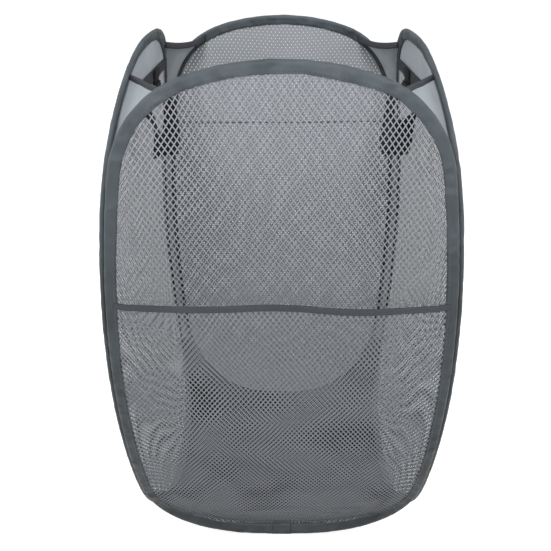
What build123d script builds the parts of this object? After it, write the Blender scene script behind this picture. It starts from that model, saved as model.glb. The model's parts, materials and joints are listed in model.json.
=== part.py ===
from build123d import *
import os
from dataclasses import dataclass
from math import atan2, degrees, hypot, sqrt

# A pop-up mesh laundry hamper: four sprung hoops bound in tape, mesh between them, plain cloth at the
# base and the corners, a mesh pocket on the front and a webbing handle inside each side.
# Sizes are in millimetres. +Z is up, the pocket faces -Y, and the origin is under the middle of the base.

# Overall size, across the bindings at the belly and up to the rim
WIDTH = 356.0
DEPTH = 356.0
HEIGHT = 610.0
BELLY_HEIGHT = 267.0

# How far the panels lean in from the belly, at the rim and at the floor, as shares of the size across
SIDE_TOP_LEAN = 0.122 * WIDTH
SIDE_BASE_LEAN = 0.058 * WIDTH
FACE_TOP_LEAN = 0.078 * DEPTH
FACE_BASE_LEAN = 0.115 * DEPTH

# Hoop outlines: how far the rim and the foot curve over the panel's width, and the corner radii
FACE_CROWN = 0.108 * WIDTH
FACE_TOP_RADIUS = 0.287 * WIDTH
FACE_BASE_RISE = 0.045 * WIDTH
FACE_BASE_RADIUS = 0.409 * WIDTH
SIDE_CROWN = 0.041 * DEPTH
SIDE_TOP_RADIUS = 0.399 * DEPTH
SIDE_BASE_RISE = 0.053 * DEPTH
SIDE_BASE_RADIUS = 0.413 * DEPTH

# Net of the side panels: a plain grid of gaps, far larger and fewer than in the real net
NET_COLUMNS = 4
NET_GAP_SHARE = 0.62
NET_MARGIN = 4.0

# Binding tape, folded round the hoop's wire and the edge of the mesh
MESH_THICKNESS = 1.2
BINDING_WIDTH = 11.0
BINDING_WALL = 1.8
FIT = 0.2
CORNER_GAP = 0.6

# Spring-steel wire, whose ends meet in a crimped sleeve at the foot of the hoop
WIRE_DEPTH = 2.2
WIRE_JOINT = 1.0
SLEEVE_LENGTH = 24.0
SLEEVE_WALL = 0.5

# Plain cloth patch at the top of each side, and the tape along its lower edge
PATCH_DROP = 50.0
TAPE_WIDTH = 12.0
TAPE_THICKNESS = 1.2
SEAM_GAP = 0.4

# Webbing handles: each hangs as a loop from two tabs sewn to the patch tape
STRAP_WIDTH = 25.0
STRAP_THICKNESS = 2.0
HANDLE_SPREAD = 90.0
TAB_HEIGHT = 18.0
HANDLE_OVERLAP = 3.0
HANDLE_GAP = 0.8
TWIST_LENGTH = 48.0
HANDLE_LEAN = 14.0
TWIST_STEPS = 6
LOOP_STEPS = 16

# Cloth across each corner: base corner, seam tape and top gusset, one above the other
CLOTH_THICKNESS = 1.0
BASE_THICKNESS = 1.2
BASE_CORNER_HEIGHT = 17.0
SEAM_BASE = 112.0
SEAM_DROP = 130.0
GUSSET_DROP = 30.0
GUSSET_HEM_HEIGHT = 6.0
GUSSET_HEM_THICKNESS = 2.6

# Front pocket
POCKET_DROP = 226.0
POCKET_BASE = 20.0
POCKET_BULGE = 8.0
POCKET_MARGIN = 1.5
HEM_HEIGHT = 8.0
HEM_WALL = 0.8

# Sizes that follow from the ones above
SPAN = WIDTH + DEPTH
PATCH_BASE = HEIGHT - PATCH_DROP
SEAM_TOP = HEIGHT - SEAM_DROP
GUSSET_TOP = HEIGHT - GUSSET_DROP
POCKET_TOP = HEIGHT - POCKET_DROP
CHANNEL = MESH_THICKNESS + 2 * FIT
BINDING_THICKNESS = CHANNEL + 2 * BINDING_WALL
FACE_REACH = (DEPTH - BINDING_THICKNESS) / 2
SIDE_REACH = (WIDTH - BINDING_THICKNESS) / 2
HOOP_SETBACK = BINDING_THICKNESS / 2 + CORNER_GAP
WIRE_OUTER = BINDING_WALL + FIT
WIRE_INNER = WIRE_OUTER + WIRE_DEPTH
SLEEVE_OUTER = WIRE_OUTER - FIT - SLEEVE_WALL
SLEEVE_INNER = WIRE_INNER + FIT + SLEEVE_WALL
SLEEVE_THICKNESS = CHANNEL + 2 * SLEEVE_WALL
MESH_EDGE = SLEEVE_INNER + 2 * FIT
TAPE_STANDOFF = MESH_THICKNESS / 2 + FIT + TAPE_THICKNESS / 2
TAB_STANDOFF = TAPE_STANDOFF + TAPE_THICKNESS / 2 + FIT + STRAP_THICKNESS / 2
TAB_BASE = PATCH_BASE - TAPE_WIDTH / 2 - TAB_HEIGHT / 3
HANDLE_STANDOFF = TAB_STANDOFF + STRAP_THICKNESS + HANDLE_GAP
HANDLE_TOP = TAB_BASE + HANDLE_OVERLAP
WEB_STANDOFF = BINDING_THICKNESS / 2 + FIT + 2 * CLOTH_THICKNESS

FACE_LEAN = (FACE_TOP_LEAN, FACE_BASE_LEAN)
SIDE_LEAN = (SIDE_TOP_LEAN, SIDE_BASE_LEAN)


def bow_inset(z, lean):
    """How far a panel stands in from its belly at a height, on arcs that are upright at the belly."""
    top_lean, base_lean = lean
    rise = z - BELLY_HEIGHT
    run, depth = (HEIGHT - BELLY_HEIGHT, top_lean) if rise > 0 else (BELLY_HEIGHT, base_lean)
    radius = (run**2 + depth**2) / (2 * depth)
    return radius - sqrt(radius**2 - rise**2)


def spread(start, end, count):
    """A number of evenly spaced heights, both ends included."""
    return [start + (end - start) * step / (count - 1) for step in range(count)]


@dataclass
class Panel:
    """One side of the hamper: where it stands, how it bows, and the outline of its hoop."""

    name: str
    side: int
    outline_plane: Plane
    bow_plane: Plane
    reach: float
    lean: tuple
    edge_reach: float
    edge_lean: tuple
    crown: float
    top_radius: float
    base_rise: float
    base_radius: float

    def edge(self, z):
        """Point of the hoop's upright edge, in the panel's own outline plane."""
        return (self.edge_reach - bow_inset(z, self.edge_lean), z)

    def stand(self, z, offset=0.0):
        """Point of the panel's middle surface, or of one further out, in its bow plane."""
        return (self.side * (self.reach + offset - bow_inset(z, self.lean)), z)


def face_panel(name, side):
    return Panel(
        name, side, Plane.XZ, Plane.YZ, FACE_REACH, FACE_LEAN, SIDE_REACH - HOOP_SETBACK, SIDE_LEAN,
        FACE_CROWN, FACE_TOP_RADIUS, FACE_BASE_RISE, FACE_BASE_RADIUS,
    )


def side_panel(name, side):
    return Panel(
        name, side, Plane.YZ, Plane.XZ, SIDE_REACH, SIDE_LEAN, FACE_REACH - HOOP_SETBACK, FACE_LEAN,
        SIDE_CROWN, SIDE_TOP_RADIUS, SIDE_BASE_RISE, SIDE_BASE_RADIUS,
    )


FRONT = face_panel("front", -1)
BACK = face_panel("back", 1)
LEFT = side_panel("left", -1)
RIGHT = side_panel("right", 1)
PANELS = [FRONT, BACK, LEFT, RIGHT]


def hoop_outline(panel, inset=0.0):
    """Outline of a panel's hoop, flat in its own plane, or the same outline drawn in by an inset."""
    low = panel.base_rise + inset
    high = HEIGHT - panel.crown - inset
    foot, waist_low, belly, waist_high, rim = [
        (panel.edge(z)[0] - inset, z)
        for z in (low, (low + BELLY_HEIGHT) / 2, BELLY_HEIGHT, (BELLY_HEIGHT + high) / 2, high)
    ]
    with BuildSketch() as outline:
        with BuildLine() as line:
            ThreePointArc(foot, waist_low, belly)
            ThreePointArc(belly, waist_high, rim)
            mirror(line.edges(), about=Plane.YZ)
            ThreePointArc((-foot[0], low), (0, inset), foot)
            ThreePointArc((-rim[0], high), (0, HEIGHT - inset), rim)
        make_face()
        fillet(outline.vertices().group_by(Axis.Y)[-1], panel.top_radius - inset)
        fillet(outline.vertices().group_by(Axis.Y)[0], panel.base_radius - inset)
    return outline.sketch


def half_width(panel, z, inset):
    """Half the width of a panel at a height, to an inset from its hoop's outline."""
    level = Edge.make_line((0, z), (SPAN, z))
    return max(edge.bounding_box().max.X for edge in level.intersect(hoop_outline(panel, inset).face()))


def bowed_sheet(panel, thickness, outer, inner=None, shift=0.0, low=-BELLY_HEIGHT / 4,
                high=HEIGHT + BELLY_HEIGHT / 4, span=None, gap=None):
    """A sheet on the panel's bow, between two insets from the hoop's outline.

    shift moves it outwards, low and high cut it level, span keeps a (centre, width) of it and gap
    opens it at the middle of the foot.
    """
    heights = [low, BELLY_HEIGHT, high] if low < BELLY_HEIGHT < high else [low, high]
    faces = (shift - thickness / 2, shift + thickness / 2)
    with BuildPart() as sheet:
        with BuildSketch(panel.bow_plane):
            with BuildLine():
                for offset_out in faces:
                    for start, end in zip(heights, heights[1:]):
                        ThreePointArc(
                            panel.stand(start, offset_out),
                            panel.stand((start + end) / 2, offset_out),
                            panel.stand(end, offset_out),
                        )
                for z in (low, high):
                    Line(panel.stand(z, faces[0]), panel.stand(z, faces[1]))
            make_face()
        extrude(amount=SPAN, both=True)
        with BuildSketch(panel.outline_plane):
            add(hoop_outline(panel, outer))
            if inner is not None:
                add(hoop_outline(panel, inner), mode=Mode.SUBTRACT)
            if span is not None:
                with Locations((span[0], 0)):
                    Rectangle(span[1], SPAN * 2, mode=Mode.INTERSECT)
            if gap is not None:
                Rectangle(gap, BELLY_HEIGHT, mode=Mode.SUBTRACT)
        extrude(amount=SPAN, both=True, mode=Mode.INTERSECT)
    return sheet.part


def write(part, name):
    """Label a finished piece and write its file."""
    part.label = name
    export_step(part, f"parts/{name}.step")


def make_wire(panel):
    write(
        bowed_sheet(panel, MESH_THICKNESS, WIRE_OUTER, WIRE_INNER, gap=WIRE_JOINT),
        f"{panel.name}_wire",
    )


def make_sleeve(panel):
    """Crimp sleeve over the wire's two ends."""
    foot = BELLY_HEIGHT
    crimp = bowed_sheet(
        panel, SLEEVE_THICKNESS, SLEEVE_OUTER, SLEEVE_INNER, high=foot, span=(0, SLEEVE_LENGTH))
    bore = bowed_sheet(
        panel, CHANNEL, WIRE_OUTER - FIT, WIRE_INNER + FIT, high=foot, span=(0, 2 * SLEEVE_LENGTH))
    with BuildPart() as sleeve:
        add(crimp)
        add(bore, mode=Mode.SUBTRACT)
    write(sleeve.part, f"{panel.name}_sleeve")


def make_binding(panel):
    """Tape folded over the hoop: closed at its outer edge, open inwards for the mesh."""
    tape = bowed_sheet(panel, BINDING_THICKNESS, 0, BINDING_WIDTH)
    fold = bowed_sheet(panel, CHANNEL, BINDING_WALL, 2 * BINDING_WIDTH)
    room = bowed_sheet(
        panel, SLEEVE_THICKNESS + 2 * FIT, SLEEVE_OUTER - FIT, SLEEVE_INNER + FIT,
        high=BELLY_HEIGHT, span=(0, SLEEVE_LENGTH + 2 * FIT))
    with BuildPart() as binding:
        add(tape)
        add(fold, mode=Mode.SUBTRACT)
        add(room, mode=Mode.SUBTRACT)
    write(binding.part, f"{panel.name}_binding")


def net_gaps(panel, high):
    """Middles of a coarse net's gaps: the squares of a plain grid that lie whole inside the binding."""
    pitch = 2 * panel.edge_reach / NET_COLUMNS
    half_gap = NET_GAP_SHARE * pitch / 2
    rows = int(high / pitch)
    middles = []
    for row in range(rows):
        z = high - (row + 0.5) * high / rows
        room = min(half_width(panel, level, BINDING_WIDTH) for level in (z - half_gap, z + half_gap))
        for column in range(NET_COLUMNS):
            middle = (column - (NET_COLUMNS - 1) / 2) * pitch
            if abs(middle) + half_gap + NET_MARGIN < room:
                middles.append((middle, z))
    return middles


def make_mesh(panel):
    """Net of a face, with its edge in the fold of the binding: a closed sheet, as its gaps are so fine."""
    write(bowed_sheet(panel, MESH_THICKNESS, MESH_EDGE), f"{panel.name}_mesh")


def make_open_mesh(panel):
    """Net of a side, opened by a coarse grid of gaps; it stops at the patch."""
    gap = NET_GAP_SHARE * 2 * panel.edge_reach / NET_COLUMNS
    with BuildPart() as mesh:
        add(bowed_sheet(panel, MESH_THICKNESS, MESH_EDGE, high=PATCH_BASE))
        with BuildSketch(panel.outline_plane):
            with Locations(*net_gaps(panel, PATCH_BASE)):
                Rectangle(gap, gap)
        extrude(amount=SPAN, both=True, mode=Mode.SUBTRACT)
    write(mesh.part, f"{panel.name}_mesh")


def make_patch(panel):
    """Plain cloth at the top of a side, and the tape over the seam between it and the net."""
    patch = bowed_sheet(panel, MESH_THICKNESS, MESH_EDGE, low=PATCH_BASE + SEAM_GAP)
    write(patch, f"{panel.name}_top_patch")
    tape = bowed_sheet(
        panel, TAPE_THICKNESS, BINDING_WIDTH + FIT, shift=-TAPE_STANDOFF,
        low=PATCH_BASE - TAPE_WIDTH / 2, high=PATCH_BASE + TAPE_WIDTH / 2)
    write(tape, f"{panel.name}_patch_tape")


def make_tabs(panel):
    """Tabs that sew a handle's two ends to the patch tape."""
    for name, y in (("front", -HANDLE_SPREAD / 2), ("rear", HANDLE_SPREAD / 2)):
        tab = bowed_sheet(
            panel, STRAP_THICKNESS, BINDING_WIDTH, shift=-TAB_STANDOFF,
            low=TAB_BASE, high=TAB_BASE + TAB_HEIGHT, span=(y, STRAP_WIDTH))
        write(tab, f"{panel.name}_handle_{name}_tab")


def twisted_leg(top, foot, turn):
    """A strap that leaves its top flat to the panel and turns as it goes down, in flat facets."""
    rings = []
    for step in range(TWIST_STEPS + 1):
        down = step / TWIST_STEPS
        centre = top + (foot - top) * down
        across = Vector(0, STRAP_WIDTH / 2, 0).rotate(Axis.Z, turn * down)
        through = Vector(STRAP_THICKNESS / 2, 0, 0).rotate(Axis.Z, turn * down)
        rings.append([centre - across - through, centre + across - through,
                      centre + across + through, centre - across + through])
    faces = [Face(Wire.make_polygon(ring)) for ring in (rings[0], rings[-1])]
    for upper, lower in zip(rings, rings[1:]):
        for corner in range(4):
            following = (corner + 1) % 4
            faces.append(Face(Wire.make_polygon([upper[corner], upper[following], lower[corner]])))
            faces.append(Face(Wire.make_polygon([upper[following], lower[following], lower[corner]])))
    return Solid(Shell(faces))


def make_handle(panel):
    """Webbing loop: flat at its sewn ends, a quarter twist down each leg, and round at the foot."""
    top_x = panel.stand(HANDLE_TOP, -HANDLE_STANDOFF)[0]
    bend_z = HANDLE_TOP - TWIST_LENGTH
    bend_x = top_x - panel.side * HANDLE_LEAN
    with BuildPart() as handle:
        for hand in (-1, 1):
            y = hand * HANDLE_SPREAD / 2
            add(twisted_leg(Vector(top_x, y, HANDLE_TOP), Vector(bend_x, y, bend_z), 90 * hand))
        with BuildSketch(Plane.YZ.offset(bend_x - STRAP_WIDTH / 2)):
            turns = [Vector(-1, 0).rotate(Axis.Z, turn) for turn in spread(0, 180, LOOP_STEPS + 1)]
            with BuildLine():
                outer = [Vector(0, bend_z) + turn * (HANDLE_SPREAD + STRAP_THICKNESS) / 2 for turn in turns]
                inner = [Vector(0, bend_z) + turn * (HANDLE_SPREAD - STRAP_THICKNESS) / 2 for turn in turns]
                Polyline(*outer, *reversed(inner), close=True)
            make_face()
        extrude(amount=STRAP_WIDTH)
    write(handle.part, f"{panel.name}_handle")


def web_ends(face, side, width_z, stand_z):
    """Where the corner cloth meets the two bindings beside a corner, in plan.

    width_z is the height whose point of each binding it meets, stand_z the height whose lean it has.
    """
    middle = BINDING_WIDTH / 2
    on_face = (side.side * half_width(face, width_z, middle), face.stand(stand_z, -WEB_STANDOFF)[0])
    on_side = (side.stand(stand_z, -WEB_STANDOFF)[0], face.side * half_width(side, width_z, middle))
    return on_face, on_side


def corner_cloth(ends_at_levels, thickness=CLOTH_THICKNESS):
    """Cloth across a corner through its level lines, in flat facets that run as its widest line does."""
    lines = [(Vector(*start), Vector(*end), z) for (start, end), z in ends_at_levels]
    start, end, z = max(lines, key=lambda line: (line[1] - line[0]).length)
    along = (end - start).normalized()
    outward = Vector(0, 0, 1).cross(along)
    middles = [((start + end).dot(outward) / 2, z) for start, end, z in lines]
    inner_face = [(middle - thickness / 2, z) for middle, z in middles]
    outer_face = [(middle + thickness / 2, z) for middle, z in middles]
    near_edge = [(start.dot(along), z) for start, end, z in lines]
    far_edge = [(end.dot(along), z) for start, end, z in lines]
    with BuildPart() as cloth:
        with BuildSketch(Plane((0, 0, 0), x_dir=outward, z_dir=along)):
            with BuildLine():
                Polyline(*inner_face, *reversed(outer_face), close=True)
            make_face()
        extrude(amount=SPAN, both=True)
        with BuildSketch(Plane((0, 0, 0), x_dir=along, z_dir=-outward)):
            with BuildLine():
                Polyline(*near_edge, *reversed(far_edge), close=True)
            make_face()
        extrude(amount=SPAN, both=True, mode=Mode.INTERSECT)
    return cloth.part


def make_corner(face, side):
    """Base corner, seam tape, top gusset and gusset hem of one corner."""
    corner = f"{face.name}_{side.name}"

    def ends(levels):
        return [(web_ends(face, side, z, z), z) for z in levels]

    foot = (web_ends(face, side, BASE_CORNER_HEIGHT, 0), BASE_THICKNESS + FIT)
    rising = ends(spread(BASE_CORNER_HEIGHT * 2, SEAM_BASE, 3))
    write(corner_cloth([foot] + rising), f"{corner}_base_corner")
    seam = ends(spread(SEAM_BASE + SEAM_GAP, SEAM_TOP - SEAM_GAP, 8))
    write(corner_cloth(seam), f"{corner}_seam_tape")
    write(corner_cloth(ends(spread(SEAM_TOP, GUSSET_TOP, 4))), f"{corner}_gusset")
    hem_top = GUSSET_TOP + GUSSET_HEM_HEIGHT
    hem_ends = web_ends(face, side, hem_top, hem_top)
    hem = [(hem_ends, GUSSET_TOP + FIT), (hem_ends, hem_top + FIT)]
    write(corner_cloth(hem, GUSSET_HEM_THICKNESS), f"{corner}_gusset_hem")


def make_base():
    """Flat cloth base, cut off at each corner where the base corners rise from it."""
    front_y = FACE_REACH - bow_inset(0, FACE_LEAN) - WEB_STANDOFF
    side_x = SIDE_REACH - bow_inset(0, SIDE_LEAN) - WEB_STANDOFF
    corner_x = half_width(FRONT, BASE_CORNER_HEIGHT, BINDING_WIDTH / 2)
    corner_y = half_width(LEFT, BASE_CORNER_HEIGHT, BINDING_WIDTH / 2)
    with BuildPart() as base:
        with BuildSketch():
            Rectangle(2 * side_x, 2 * front_y)
            with Locations(*[(x, y) for x in (-side_x, side_x) for y in (-front_y, front_y)]):
                cut_x = side_x - corner_x
                cut_y = front_y - corner_y
                Polygon((cut_x, 0), (0, cut_y), (-cut_x, 0), (0, -cut_y), align=None, mode=Mode.SUBTRACT)
        extrude(amount=BASE_THICKNESS)
    write(base.part, "base_panel")


def pocket_curve(z, offset_out, margin):
    """Plan curve of the pocket at a height: held in at both edges and full in the middle."""
    standoff = MESH_THICKNESS / 2 + HEM_WALL + 2 * FIT
    half = half_width(FRONT, z, BINDING_WIDTH + margin)
    y = FRONT.stand(z, standoff + offset_out)[0]
    bulge = POCKET_BULGE * (z - POCKET_BASE / 2) / (POCKET_TOP - POCKET_BASE / 2)
    return (-half, y), (0, y - bulge), (half, y)


def pocket_slice(z, near_offset, far_offset, margin=POCKET_MARGIN):
    """Level slice of the pocket between two offsets from the panel, a margin inside the binding."""
    with BuildSketch(Plane.XY.offset(z)) as level:
        with BuildLine():
            near = ThreePointArc(*pocket_curve(z, near_offset, margin))
            far = ThreePointArc(*pocket_curve(z, far_offset, margin))
            Line(near @ 0, far @ 0)
            Line(near @ 1, far @ 1)
        make_face()
    return level.sketch


def make_pocket():
    """Net pocket over the lower front, drawn in to the panel at its foot, and the tape on its mouth."""
    hem_base = POCKET_TOP - HEM_HEIGHT
    hem_top = POCKET_TOP + FIT + HEM_WALL
    levels = spread(POCKET_BASE, hem_base, 6) + [POCKET_TOP]
    with BuildPart() as pocket:
        loft([pocket_slice(z, 0, MESH_THICKNESS) for z in levels], ruled=True)
    write(pocket.part, "pocket_mesh")

    wrap = FIT + HEM_WALL
    with BuildPart() as hem:
        loft([pocket_slice(z, -wrap, MESH_THICKNESS + wrap) for z in (hem_base, hem_top)])
        slot = [pocket_slice(z, -FIT, MESH_THICKNESS + FIT, 0) for z in (hem_base - wrap, POCKET_TOP + FIT)]
        loft(slot, mode=Mode.SUBTRACT)
    write(hem.part, "pocket_hem")


os.makedirs("parts", exist_ok=True)
for panel in PANELS:
    make_wire(panel)
    make_sleeve(panel)
    make_binding(panel)
for panel in (FRONT, BACK):
    make_mesh(panel)
for panel in (LEFT, RIGHT):
    make_open_mesh(panel)
    make_patch(panel)
    make_tabs(panel)
    make_handle(panel)
for face in (FRONT, BACK):
    for side in (LEFT, RIGHT):
        make_corner(face, side)
make_base()
make_pocket()
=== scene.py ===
# %% [markdown]
# # A pop-up mesh laundry hamper
# The real one is four sprung hoops bound in tape, with net stretched across each of them, and plain cloth
# joining them at the corners and across the floor. This lesson starts from the solid model, which gives
# every piece its place, and makes the cloth that a solid model can only hint at.

# %% Load the solid model
import json
import math

import bmesh
import bpy
import numpy as np
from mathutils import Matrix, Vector, noise


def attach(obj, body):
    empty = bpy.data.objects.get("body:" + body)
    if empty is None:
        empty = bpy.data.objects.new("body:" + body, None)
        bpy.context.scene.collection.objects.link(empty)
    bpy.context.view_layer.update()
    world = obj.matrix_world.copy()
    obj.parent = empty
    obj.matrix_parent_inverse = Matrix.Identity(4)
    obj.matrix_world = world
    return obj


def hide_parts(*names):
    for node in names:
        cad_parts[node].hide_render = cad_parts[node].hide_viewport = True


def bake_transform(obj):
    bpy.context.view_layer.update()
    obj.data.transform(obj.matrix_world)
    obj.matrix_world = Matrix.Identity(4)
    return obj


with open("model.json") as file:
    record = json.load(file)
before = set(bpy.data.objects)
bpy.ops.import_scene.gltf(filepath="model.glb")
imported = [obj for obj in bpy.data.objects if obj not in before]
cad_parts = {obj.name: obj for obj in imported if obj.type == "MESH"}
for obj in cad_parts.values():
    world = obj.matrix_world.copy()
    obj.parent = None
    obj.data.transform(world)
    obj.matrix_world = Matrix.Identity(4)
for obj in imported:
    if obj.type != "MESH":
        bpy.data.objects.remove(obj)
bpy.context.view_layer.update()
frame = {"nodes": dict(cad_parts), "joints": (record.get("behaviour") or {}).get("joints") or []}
scene = bpy.context.scene
scene.view_settings.view_transform = "Standard"

# %% [markdown]
# ## Where a panel stands
# Each panel bows out at the belly: two arcs, both upright where they meet, lean in to the rim and to the
# floor. A point of a panel is given by how far across it is, how high, and how far it stands out from the
# middle of the cloth. That keeps all the cloth on the solid panels.

# %% Panels and their bow
MM = 0.001
RIM = 610 * MM
BELLY = 267 * MM
REACH = 175.4 * MM
LEANS = {"face": (27.768 * MM, 40.94 * MM), "side": (43.432 * MM, 20.648 * MM)}
UP = Vector((0, 0, 1))
PANELS = {
    "front": ("face", Vector((1, 0, 0)), Vector((0, -1, 0))),
    "back": ("face", Vector((1, 0, 0)), Vector((0, 1, 0))),
    "left": ("side", Vector((0, 1, 0)), Vector((-1, 0, 0))),
    "right": ("side", Vector((0, 1, 0)), Vector((1, 0, 0))),
}


def bow(kind, z):
    """How far a panel stands in from its belly at a height; z may be an array."""
    top, base = LEANS[kind]
    z = np.asarray(z, float)
    run = np.where(z > BELLY, RIM - BELLY, BELLY)
    lean = np.where(z > BELLY, top, base)
    radius = (run**2 + lean**2) / (2 * lean)
    return radius - np.sqrt(radius**2 - (z - BELLY) ** 2)


def on_panel(panel, across, z, out=0.0):
    """A point of a panel, out from the middle of its cloth."""
    kind, sideways, outward = PANELS[panel]
    return sideways * across + outward * (REACH - float(bow(kind, z)) + out) + UP * z


def sign_of(panel):
    return -1 if panel in ("front", "left") else 1


def node_points(name):
    mesh = frame["nodes"][name].data
    points = np.empty(len(mesh.vertices) * 3)
    mesh.vertices.foreach_get("co", points)
    return points.reshape(-1, 3)


for panel in PANELS:
    points = node_points(f"{panel}_wire")
    kind, sideways, outward = PANELS[panel]
    miss = points @ np.array(outward) - (REACH - bow(kind, points[:, 2]))
    print(panel, "wire lies within", round(float(np.abs(miss).max()) * 1000, 2), "mm of the bow")

# %% [markdown]
# ## The line of each hoop
# The wire inside the binding is in the solid model, so its outline is read from there. Every hoop is rounded
# outwards, so the outline is the hull of the wire's points seen flat. It is walked in even steps from the
# middle of the foot, and evened out, because the solid's curves come as short straight runs.

# %% Read the hoops
HOOP_STEPS = 480
FINE_STEPS = 4
SOFTEN_REACH = 30
SOFTEN_SPREAD = 9.0
WIRE_INSET = 2.0 * MM


def hull_of(points):
    """Corners of the smallest outward-curving outline round flat points."""
    ordered = sorted(set(map(tuple, np.round(points, 6))))
    corners = []
    for run in (ordered, ordered[::-1]):
        half = []
        for x, y in run:
            while len(half) > 1:
                (ax, ay), (bx, by) = half[-2:]
                if (bx - ax) * (y - ay) - (by - ay) * (x - ax) > 0:
                    break
                half.pop()
            half.append((x, y))
        corners += half[:-1]
    return np.array(corners)


def read_hoop(panel):
    """The outline of a hoop's wire, the way out from it, and its length."""
    points = node_points(f"{panel}_wire")
    flat = np.column_stack([points @ np.array(PANELS[panel][1]), points[:, 2]])
    corners = hull_of(flat)
    ring = np.vstack([corners, corners[:1]])
    run = np.concatenate([[0], np.cumsum(np.hypot(*np.diff(ring, axis=0).T))])
    even = np.linspace(0, run[-1], FINE_STEPS * HOOP_STEPS, endpoint=False)
    loop = np.column_stack([np.interp(even, run, ring[:, k]) for k in (0, 1)])
    shifts = np.arange(-SOFTEN_REACH, SOFTEN_REACH + 1)
    weights = np.exp(-0.5 * (shifts / SOFTEN_SPREAD) ** 2)
    weights /= weights.sum()
    soft = sum(weight * np.roll(loop, shift, axis=0) for shift, weight in zip(shifts, weights))
    foot = np.argmin(np.abs(soft[:, 0]) + np.where(soft[:, 1] < BELLY, 0, 1))
    soft = np.roll(soft, -foot, axis=0)
    soft = 0.5 * (soft + np.roll(soft[::-1], 1, axis=0) * [-1, 1])
    soft = soft[::FINE_STEPS]
    ahead = np.roll(soft, -1, axis=0) - np.roll(soft, 1, axis=0)
    ahead /= np.hypot(*ahead.T)[:, None]
    normal = np.column_stack([ahead[:, 1], -ahead[:, 0]])
    return {"loop": soft, "normal": normal, "length": float(run[-1])}


HOOPS = {panel: read_hoop(panel) for panel in PANELS}


def loop_at(panel, inset):
    """The hoop's outline, drawn in from the binding's outer edge."""
    hoop = HOOPS[panel]
    return hoop["loop"] - hoop["normal"] * (inset - WIRE_INSET)


def half_width(panel, z, inset):
    """Half a panel's width at a height, to an inset from the binding's outer edge; z may be an array."""
    right = loop_at(panel, inset)[: HOOP_STEPS // 2 + 1]
    order = np.argsort(right[:, 1])
    return np.interp(z, right[order, 1], right[order, 0], left=0.0, right=0.0)


for panel, hoop in HOOPS.items():
    print(panel, "hoop runs", round(hoop["length"], 3), "m and is",
          round(2 * float(hoop["loop"][:, 0].max()), 3), "m wide")

# %% [markdown]
# ## Cloth from a grid
# Most pieces here are strips and sheets. Each one starts as a grid, and every point of the grid is set where
# that point of the cloth lies. A strip that closes on itself is merged along its seam. The UV map is in
# metres, so that a weave or a stitch has its real size on any tape.

# %% A sheet or strip of cloth
SEAM_MERGE = 0.001 * MM


def new_grid(name, columns, rows):
    bpy.ops.mesh.primitive_grid_add(x_subdivisions=columns, y_subdivisions=rows, size=1)
    obj = bpy.context.object
    obj.name = name
    obj.data.name = name
    return obj


def edit_all():
    bpy.ops.object.mode_set(mode="EDIT")
    bpy.ops.mesh.select_all(action="SELECT")


def cloth_grid(name, columns, rows, place, size, closed=False):
    """A grid whose points go where place(s, t) says, s and t from 0 to 1; size is its flat size in metres."""
    obj = new_grid(name, columns, rows)
    for vertex in obj.data.vertices:
        vertex.co = place(vertex.co.x + 0.5, vertex.co.y + 0.5)
    for corner in obj.data.uv_layers.active.data:
        corner.uv = (corner.uv[0] * size[0], corner.uv[1] * size[1])
    if closed:
        edit_all()
        bpy.ops.mesh.remove_doubles(threshold=SEAM_MERGE)
        bpy.ops.mesh.fill_holes(sides=0)
        bpy.ops.mesh.select_all(action="SELECT")
        bpy.ops.mesh.normals_make_consistent(inside=False)
        bpy.ops.object.mode_set(mode="OBJECT")
    bpy.ops.object.shade_smooth()
    return obj


TAPE_STEP = 0.002
TAPE_SECTION = [(-1.0, 0.0), (-0.94, 0.7), (-0.6, 1.0), (0.0, 1.0), (0.6, 1.0), (0.94, 0.7),
                (1.0, 0.0), (0.94, -0.7), (0.6, -1.0), (0.0, -1.0), (-0.6, -1.0), (-0.94, -0.7)]


def tape(name, steps, centre, broad, width, thickness, length):
    """A flat tape along centre(s), its width along broad(s)."""
    ring = TAPE_SECTION + TAPE_SECTION[:1]

    def place(s, t):
        here = centre(s)
        ahead = centre(min(s + TAPE_STEP, 1.0)) - centre(max(s - TAPE_STEP, 0.0))
        across = broad(s).normalized()
        through = ahead.cross(across).normalized()
        wide, thick = ring[round(t * len(TAPE_SECTION))]
        return here + across * (wide * width / 2) + through * (thick * thickness / 2)

    return cloth_grid(name, steps, len(TAPE_SECTION), place, (length, 2 * (width + thickness)), closed=True)


def ripple(x, y, z):
    """Smooth unevenness from -1 to 1, the same on every run."""
    return noise.noise(Vector((x, y, z)))


print("a tape has", len(TAPE_SECTION), "points round its section")

# %% [markdown]
# ## Shared effects
# The net and the tapes are polyester, and the flat cloth is a thin nylon with a slight sheen. Four effects
# come back on nearly all of them: uneven dye with painted light that makes it paler towards the rim, a weave,
# sewn lines and creases. They are too fine to model, so each is a node group that changes the shade or tilts
# the surface.

# %% Helpers for node groups


def new_group(name, inputs, output):
    """An empty node group, its inputs and its one output."""
    group = bpy.data.node_groups.new(name, "ShaderNodeTree")
    for way, labels in (("INPUT", inputs), ("OUTPUT", [output])):
        for label in labels:
            kind = "NodeSocketColor" if label == "Colour" else "NodeSocketFloat"
            group.interface.new_socket(label, in_out=way, socket_type=kind)
    inside = group.nodes.new("NodeGroupInput").outputs
    return group, inside, group.nodes.new("NodeGroupOutput").inputs[output]


def math_node(tree, operation, first, second=None):
    """One sum on two values, each a number or another node's output."""
    node = tree.nodes.new("ShaderNodeMath")
    node.operation = operation
    for socket, value in zip(node.inputs, (first, second)):
        if value is None:
            continue
        if isinstance(value, (int, float)):
            socket.default_value = value
        else:
            tree.links.new(value, socket)
    return node.outputs[0]


def split_place(group, kind):
    """X, Y and Z of a point on the object or on the UV map."""
    place = group.nodes.new("ShaderNodeTexCoord")
    split = group.nodes.new("ShaderNodeSeparateXYZ")
    group.links.new(place.outputs[kind], split.inputs[0])
    return split.outputs


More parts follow.
